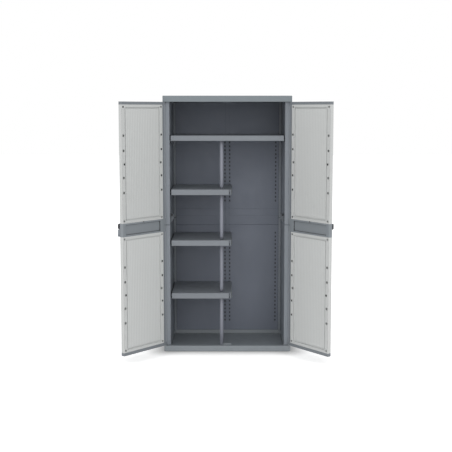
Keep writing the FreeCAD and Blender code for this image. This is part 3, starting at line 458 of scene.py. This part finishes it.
# %% The skin of an inner door panel
def fluted_skin(name, side, low, high, colour):
    recipe = Recipe(name)
    base = drifting_colour(recipe, colour, 0.012, UPRIGHT_FLOW)
    wave, shown = flute_wave(recipe, side, low, high)
    # The field is painted a little paler than the border round it: painted light.
    base = recipe.mix(recipe.maths("MULTIPLY", shown, 0.7), base, toned(colour, 1.09))
    # Painted shade darkens the flute valleys.
    valley_shade = recipe.maths("MULTIPLY", recipe.ramp(wave, 0.55, 0.05),
                          recipe.maths("MULTIPLY", shown, VALLEY_SHADE_STRENGTH))
    base = recipe.mix(valley_shade, base, toned(colour, 0.72))
    bent, _, likeness = soft_edges(recipe)
    base = rub_edges(recipe, base, likeness, colour, 0.2)
    base = paint_shade_and_dirt_in_narrow_places(recipe, base, colour, amount=0.15, begins=0.5)
    # Painted shade and dirt round the peg holes.
    base = recipe.mix(peg_rims_of_shade_and_dirt(recipe, side, low, high), base, toned(colour, SHADED_AND_DIRTY))
    base = recipe.mix(inside_border(recipe, side, low, high), base, toned(colour, 0.05))
    ribs = press(recipe, recipe.maths("MULTIPLY", wave, shown), FLUTE_LIFT, bent, 0.8)
    grained = press(recipe, grain_height(recipe, GRAIN_SIZE), GRAIN_DEPTH, ribs)
    return finish_skin(recipe, base, grained, 0.52)


# The lower panels are painted a little paler than the upper ones: painted light against the shade that falls
# on them lower down.
LINER_COLOURS_WITH_PAINTED_LIGHT = {"upper": grey_tone(202, 204, 203), "lower": grey_tone(207, 209, 208)}
fluted_skins = {}
for name in nodes_of_cabinet:
    if name.endswith("_liner"):
        low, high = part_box(name)
        side, _, level, _ = name.split("_")
        fluted_skins[name] = fluted_skin(name + "_skin", side, low.z, high.z, LINER_COLOURS_WITH_PAINTED_LIGHT[level])
print("fluted skins:", sorted(fluted_skins))

# %% [markdown]
# ## Which plastic goes where
# A piece of the frame keeps its shape and only gets a material. Names are matched from the
# most special word to the most general one, so a new door piece would find its plastic too.

# %% Give every piece its plastic
PLASTIC_BY_WORD = [
    ("lock_lug", near_black), ("wall_lug", lug_grey), ("middle_hinge_pin", near_black),
    ("shelf_clips", near_black), ("door_band", band_grey), ("_side_", side_grey),
    ("door_top_rail", rail_grey), ("door_bottom_rail", rail_grey), ("roof", roof_grey), ("base", base_grey),
    ("pole", pole_blue_grey), ("back_", wall_grey), ("shelf", shelf_grey),
]


def plastic_for(name):
    if name in fluted_skins:
        return fluted_skins[name]
    if name.endswith("_shell"):
        return shell_skins[name.split("_")[0]]
    for word, material in PLASTIC_BY_WORD:
        if word in name:
            return material
    return cool_grey


for name, piece in nodes_of_cabinet.items():
    piece.data.materials.clear()
    piece.data.materials.append(plastic_for(name))
print("pieces of middle grey:", [n for n in nodes_of_cabinet if plastic_for(n) is cool_grey])

# %% [markdown]
# ## A mesh from rings
# The pole and the screws are round. The quickest way to make a round piece without leaving
# the mesh tools is to write its outline once, as pairs of radius and height, and to set a ring
# of points for each pair; neighbouring rings are then joined by faces.

# %% Turn an outline into a round piece
def turned_shape(outline, around=40, closed=False):
    shape = bmesh.new()
    rings = []
    for radius, height in outline:
        angles = [2 * math.pi * i / around for i in range(around)]
        rings.append([shape.verts.new((radius * math.cos(a), radius * math.sin(a), height)) for a in angles])
    pairs = list(zip(rings, rings[1:])) + ([(rings[-1], rings[0])] if closed else [])
    for lower, upper in pairs:
        for i in range(around):
            j = (i + 1) % around
            shape.faces.new((lower[i], lower[j], upper[j], upper[i]))
    return shape, rings


def finished_piece(shape, name, material, place=(0, 0, 0), body="cabinet", smooth=True):
    bmesh.ops.recalc_face_normals(shape, faces=shape.faces)
    mesh = bpy.data.meshes.new(name)
    shape.to_mesh(mesh)
    shape.free()
    for face in mesh.polygons:
        face.use_smooth = smooth
    mesh.materials.append(material)
    piece = bpy.data.objects.new(name, mesh)
    bpy.context.scene.collection.objects.link(piece)
    piece.location = place
    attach(piece, body)
    return piece


# %% [markdown]
# ## The pole in lengths
# The frame has the pole as one plain tube. The real one narrows just above each half shelf,
# which speaks for lengths that are plugged together there, each upper one with a neck that goes
# into the lower one. Each length is turned from its own outline, a closed one, because the tube
# has an inside too. The first length stands for the plain tube of the frame.

# %% Outline of one length
POLE_RADIUS = 0.013
POLE_WALL = 0.0015
POLE_RIM = 0.0004
NECK_RADIUS = 0.0108
NECK_HEIGHT = 0.013
NECK_RIM = 0.0003
SLOPE_HEIGHT = 0.002
SOCKET_DEPTH = 0.02


def length_outline(low, high, necked):
    outside = [(POLE_RADIUS - POLE_RIM, low), (POLE_RADIUS, low + POLE_RIM)]
    if necked:
        shoulder = low + NECK_HEIGHT + SLOPE_HEIGHT
        outside = [(NECK_RADIUS - NECK_RIM, low), (NECK_RADIUS, low + NECK_RIM),
                   (NECK_RADIUS, low + NECK_HEIGHT), (POLE_RADIUS - NECK_RIM, shoulder),
                   (POLE_RADIUS, shoulder + POLE_RIM)]
    top = [(POLE_RADIUS, high - POLE_RIM), (POLE_RADIUS - POLE_RIM, high)]
    bore = POLE_RADIUS - POLE_WALL
    lowest_bore = (NECK_RADIUS if necked else POLE_RADIUS) - POLE_WALL
    return outside + top + [(bore, high), (bore, low + SOCKET_DEPTH), (lowest_bore, low)]


# %% Make the lengths
pole_low, pole_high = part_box("divider_pole")
pole_middle = (pole_low + pole_high) / 2
shelf_tops = sorted(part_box("half_shelf_" + level)[1].z for level in ("low", "middle", "high"))
joints_of_pole = [pole_low.z] + shelf_tops + [pole_high.z]
for number, (low, high) in enumerate(zip(joints_of_pole, joints_of_pole[1:]), start=1):
    shape, _ = turned_shape(length_outline(low, high, number > 1), around=48, closed=True)
    piece = finished_piece(shape, "pole_length_%d" % number, pole_blue_grey,
                           (pole_middle.x, pole_middle.y, 0.0))
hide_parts("divider_pole")
print("pole lengths:", [round(high - low, 3) for low, high in zip(joints_of_pole, joints_of_pole[1:])])

# %% [markdown]
# ## Screws
# Small zinc-plated screws hold the locking lugs, the pull handle and the hinge ears. Up close
# their cross recess catches the eye, so a plain disc will not do. The head is turned from a
# domed outline, the cross is drawn as twelve points in its middle, the gap between them is
# filled, and the cross is pushed down.

# %% Zinc plating
def zinc_plating():
    recipe = Recipe("zinc_plating")
    spots = recipe.ramp(recipe.noise(900.0, 3.0), 0.3, 0.7)
    recipe.feed("Base Color", recipe.mix(spots, grey_tone(176, 178, 178), grey_tone(204, 205, 203)))
    recipe.feed("Roughness", recipe.ramp(recipe.noise(2400.0, 2.0), 0.3, 0.7, 0.26, 0.42))
    recipe.shader.inputs["Metallic"].default_value = 1.0
    return recipe.material


zinc = zinc_plating()

# %% A screw head with a cross recess
DOME = [(1.0, 0.0), (1.0, 0.12), (0.93, 0.27), (0.78, 0.4), (0.58, 0.48)]
POINTS_AROUND_HEAD = 24
POINTS_OF_CROSS = 12
CROSS_ARM, CROSS_HALF_WIDTH, CROSS_DEPTH = 0.46, 0.12, 0.32


def cross_points(arm, half):
    quarter = [(arm, -half), (arm, half), (half, half)]
    turns = [Matrix.Rotation(math.pi / 2 * i, 2) for i in range(4)]
    return [turn @ Vector(point) for turn in turns for point in quarter]


def screw_head(name, radius, centre, facing, body):
    shape, rings = turned_shape([(radius * r, radius * z) for r, z in DOME], POINTS_AROUND_HEAD)
    top = radius * DOME[-1][1]
    corners = cross_points(radius * CROSS_ARM, radius * CROSS_HALF_WIDTH)
    cross = [shape.verts.new((p.x, p.y, top)) for p in corners]
    loop = [shape.edges.new((cross[i], cross[(i + 1) % POINTS_OF_CROSS])) for i in range(POINTS_OF_CROSS)]
    rim = [shape.edges.get((rings[-1][i], rings[-1][(i + 1) % POINTS_AROUND_HEAD]))
           for i in range(POINTS_AROUND_HEAD)]
    bmesh.ops.triangle_fill(shape, edges=rim + loop, use_beauty=True)
    pushed = bmesh.ops.extrude_edge_only(shape, edges=loop)["geom"]
    floor_points = [v for v in pushed if isinstance(v, bmesh.types.BMVert)]
    bmesh.ops.translate(shape, verts=floor_points, vec=(0, 0, -CROSS_DEPTH * radius))
    bmesh.ops.holes_fill(shape, edges=[e for e in pushed if isinstance(e, bmesh.types.BMEdge)
                                       and all(v in floor_points for v in e.verts)])
    shape.transform(Vector(facing).to_track_quat("Z", "Y").to_matrix().to_4x4())
    return finished_piece(shape, name, zinc, centre, body, smooth=False)


# %% [markdown]
# A screw on a door is placed from the hinge, with the directions found above. Its height
# comes from the piece it holds, so that it follows if that piece is made taller.

# %% Set the screws
LUG_FACE, POCKET_FLOOR, EAR_FACE_BEHIND_PIN = 0.0111, 0.0107, 0.0257
LUG_SCREWS_FROM_HINGE = 0.394
LUG_SCREW_SHARES = (0.25, 0.75)
EAR_SCREW_LIFTS = (0.0034, 0.0226)
POCKET_SCREWS_FROM_HINGE = (0.3915, 0.4195)
LUG_SCREW_RADIUS, EAR_SCREW_RADIUS, POCKET_SCREW_RADIUS = 0.0034, 0.0022, 0.0031


def on_door(side, from_hinge, out, height):
    hinge, along, outward = door_directions(side)
    place = hinge + from_hinge * along + out * outward
    return Vector((place.x, place.y, height))


screws = []
for side in ("left", "right"):
    hinge, _, outward = door_directions(side)
    low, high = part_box(side + "_lock_lug")
    for share in LUG_SCREW_SHARES:
        place = on_door(side, LUG_SCREWS_FROM_HINGE, LUG_FACE, low.z + share * (high.z - low.z))
        screws.append(screw_head("%s_lug_screw_%d" % (side, share * 4), LUG_SCREW_RADIUS, place,
                                 outward, side + "_door"))
    low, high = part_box(side + "_hinge_ear")
    for lift in EAR_SCREW_LIFTS:
        place = Vector((hinge.x, hinge.y + EAR_FACE_BEHIND_PIN, low.z + lift))
        screws.append(screw_head("%s_ear_screw_%d" % (side, lift * 10000), EAR_SCREW_RADIUS, place,
                                 (0, -1, 0), "cabinet"))
outward = door_directions("left")[2]
low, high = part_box("left_pull_handle")
for from_hinge in POCKET_SCREWS_FROM_HINGE:
    place = on_door("left", from_hinge, POCKET_FLOOR, (low.z + high.z) / 2)
    screws.append(screw_head("handle_screw_%d" % (from_hinge * 1000), POCKET_SCREW_RADIUS, place,
                             outward, "left_door"))
print("screws set:", len(screws))

# %% [markdown]
# ## Floor and background
# The cabinet stands in front of plain white. A large pale floor carries its shadow. Seen by
# the camera, floor and sky add their own light, so that they read as white, while the light
# that reaches the cabinet stays plain. That added light would wash out the narrow shadow where
# the plinth meets the floor, so it fades close to the plinth, and close to anything else.

# %% Floor and sky
FLOOR_HALF_SIZE = 30.0
FLOOR_BELOW_CABINET = 0.0005
CONTACT_REACH, CONTACT_STRENGTH = 0.14, 0.5
NEAR_THINGS_REACH = 0.16
OPEN_SHARE_OF_FLOOR = (0.45, 0.97)
ADDED_LIGHT = (0.1, 0.54)
SKY_LIGHT, SKY_SEEN = 0.86, 1.0


def seen_directly(tree):
    """1 for rays that show the background itself: straight, mirrored or through something."""
    path = tree.nodes.new("ShaderNodeLightPath")
    first = tree.nodes.new("ShaderNodeMath")
    first.operation = "MAXIMUM"
    second = tree.nodes.new("ShaderNodeMath")
    second.operation = "MAXIMUM"
    tree.links.new(path.outputs["Is Camera Ray"], first.inputs[0])
    tree.links.new(path.outputs["Is Glossy Ray"], first.inputs[1])
    tree.links.new(first.outputs[0], second.inputs[0])
    tree.links.new(path.outputs["Is Transmission Ray"], second.inputs[1])
    return second.outputs[0]


def contact_shadow(recipe):
    """Share of light that the plinth keeps from the floor close to it."""
    low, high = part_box("base_tray")
    place = recipe.node("ShaderNodeSeparateXYZ", {"Vector": recipe.place}).outputs
    outside = []
    for axis in (0, 1):
        past = recipe.maths("SUBTRACT", recipe.maths("ABSOLUTE", place[axis]), (high[axis] - low[axis]) / 2)
        outside.append(recipe.maths("MAXIMUM", past, 0.0))
    away = recipe.node("ShaderNodeCombineXYZ", {0: outside[0], 1: outside[1]}).outputs[0]
    distance = recipe.node("ShaderNodeVectorMath", {0: away}, operation="LENGTH").outputs["Value"]
    return recipe.ramp(distance, 0.0, CONTACT_REACH, CONTACT_STRENGTH, 0.0)


def pale_floor():
    recipe = Recipe("pale_floor")
    cloud = recipe.ramp(recipe.noise(0.7, 2.0), 0.3, 0.7)
    paint = recipe.mix(cloud, grey_tone(246, 246, 246), grey_tone(250, 250, 250))
    near_things = recipe.node("ShaderNodeAmbientOcclusion", {"Distance": NEAR_THINGS_REACH},
                              samples=12).outputs["AO"]
    seen = seen_directly(recipe.tree)
    contact = recipe.maths("MULTIPLY", seen, contact_shadow(recipe))
    recipe.feed("Base Color", recipe.mix(contact, paint, (0, 0, 0, 1)))
    recipe.shader.inputs["Roughness"].default_value = 0.9
    recipe.shader.inputs["Specular IOR Level"].default_value = 0.1
    glow = recipe.node("ShaderNodeEmission", {"Color": (1, 1, 1, 1)})
    open_floor = recipe.ramp(near_things, *OPEN_SHARE_OF_FLOOR, *ADDED_LIGHT)
    lift = recipe.maths("MULTIPLY", seen, recipe.maths("MULTIPLY", open_floor,
                                                      recipe.maths("SUBTRACT", 1.0, contact)))
    recipe.tree.links.new(lift, glow.inputs["Strength"])
    both = recipe.node("ShaderNodeAddShader")
    recipe.tree.links.new(recipe.shader.outputs[0], both.inputs[0])
    recipe.tree.links.new(glow.outputs[0], both.inputs[1])
    recipe.tree.links.new(both.outputs[0], recipe.tree.nodes["Material Output"].inputs["Surface"])
    return recipe.material


def floor_sheet(size):
    mesh = bpy.data.meshes.new("floor")
    shape = bmesh.new()
    bmesh.ops.create_grid(shape, x_segments=8, y_segments=8, size=size)
    shape.to_mesh(mesh)
    shape.free()
    mesh.materials.append(pale_floor())
    sheet = bpy.data.objects.new("floor", mesh)
    bpy.context.scene.collection.objects.link(sheet)
    return sheet


floor = floor_sheet(FLOOR_HALF_SIZE)
floor.location.z = frame_low.z - FLOOR_BELOW_CABINET
print("floor at", round(floor.location.z, 4))

# %% White sky that lights softly
world = bpy.data.worlds.new("white_room")
bpy.context.scene.world = world
world.use_nodes = True
sky = world.node_tree
behind = sky.nodes["Background"]
behind.inputs["Color"].default_value = (1, 1, 1, 1)
brightness = sky.nodes.new("ShaderNodeMapRange")
brightness.inputs["To Min"].default_value = SKY_LIGHT
brightness.inputs["To Max"].default_value = SKY_SEEN
sky.links.new(seen_directly(sky), brightness.inputs["Value"])
sky.links.new(brightness.outputs[0], behind.inputs["Strength"])

# %% [markdown]
# ## Studio light
# The picture was taken in a white room: light comes from all round, so the front is even from
# top to bottom and the inside grows dark only where little of the room can be seen. The white
# sky above gives that. One broad, weak lamp shapes the edges. It shines from the front and a
# little from above, like a sun behind thin cloud, so it is as strong at the plinth as at the roof.

# %% One broad soft lamp
def far_lamp(name, towards, width, strength):
    light = bpy.data.lights.new(name, "SUN")
    light.angle = math.radians(width)
    light.energy = strength
    lamp = bpy.data.objects.new(name, light)
    lamp.rotation_euler = Vector(towards).to_track_quat("-Z", "Y").to_euler()
    lamp.location = (-2.0, -4.0, 3.0)
    bpy.context.scene.collection.objects.link(lamp)


far_lamp("broad_lamp", (-0.04, 1.0, -0.35), 40.0, 0.45)
print("lamps:", len(bpy.data.lights))

# %% [markdown]
# ## The camera
# The picture was taken from about seven metres in front, at the height of a person's eyes,
# tilted a little down. From far away the sides of the cabinet hardly lean together.

# %% Camera at the viewing angle
CAMERA_LENS = 79.75
CAMERA_SHIFT = -0.0029
CAMERA_PLACE = (0.0, -7.2306, 1.7067)
CAMERA_TILT_DOWN = 6.65
camera_data = bpy.data.cameras.new("camera")
camera_data.sensor_width = 36.0
camera_data.lens = CAMERA_LENS
camera_data.shift_x = CAMERA_SHIFT
camera = bpy.data.objects.new("camera", camera_data)
camera.location = CAMERA_PLACE
camera.rotation_euler = (math.radians(90 - CAMERA_TILT_DOWN), 0.0, 0.0)
bpy.context.scene.collection.objects.link(camera)
bpy.context.scene.camera = camera
bpy.context.scene.view_settings.view_transform = "Standard"
print("camera stands at", tuple(round(v, 3) for v in camera.location))
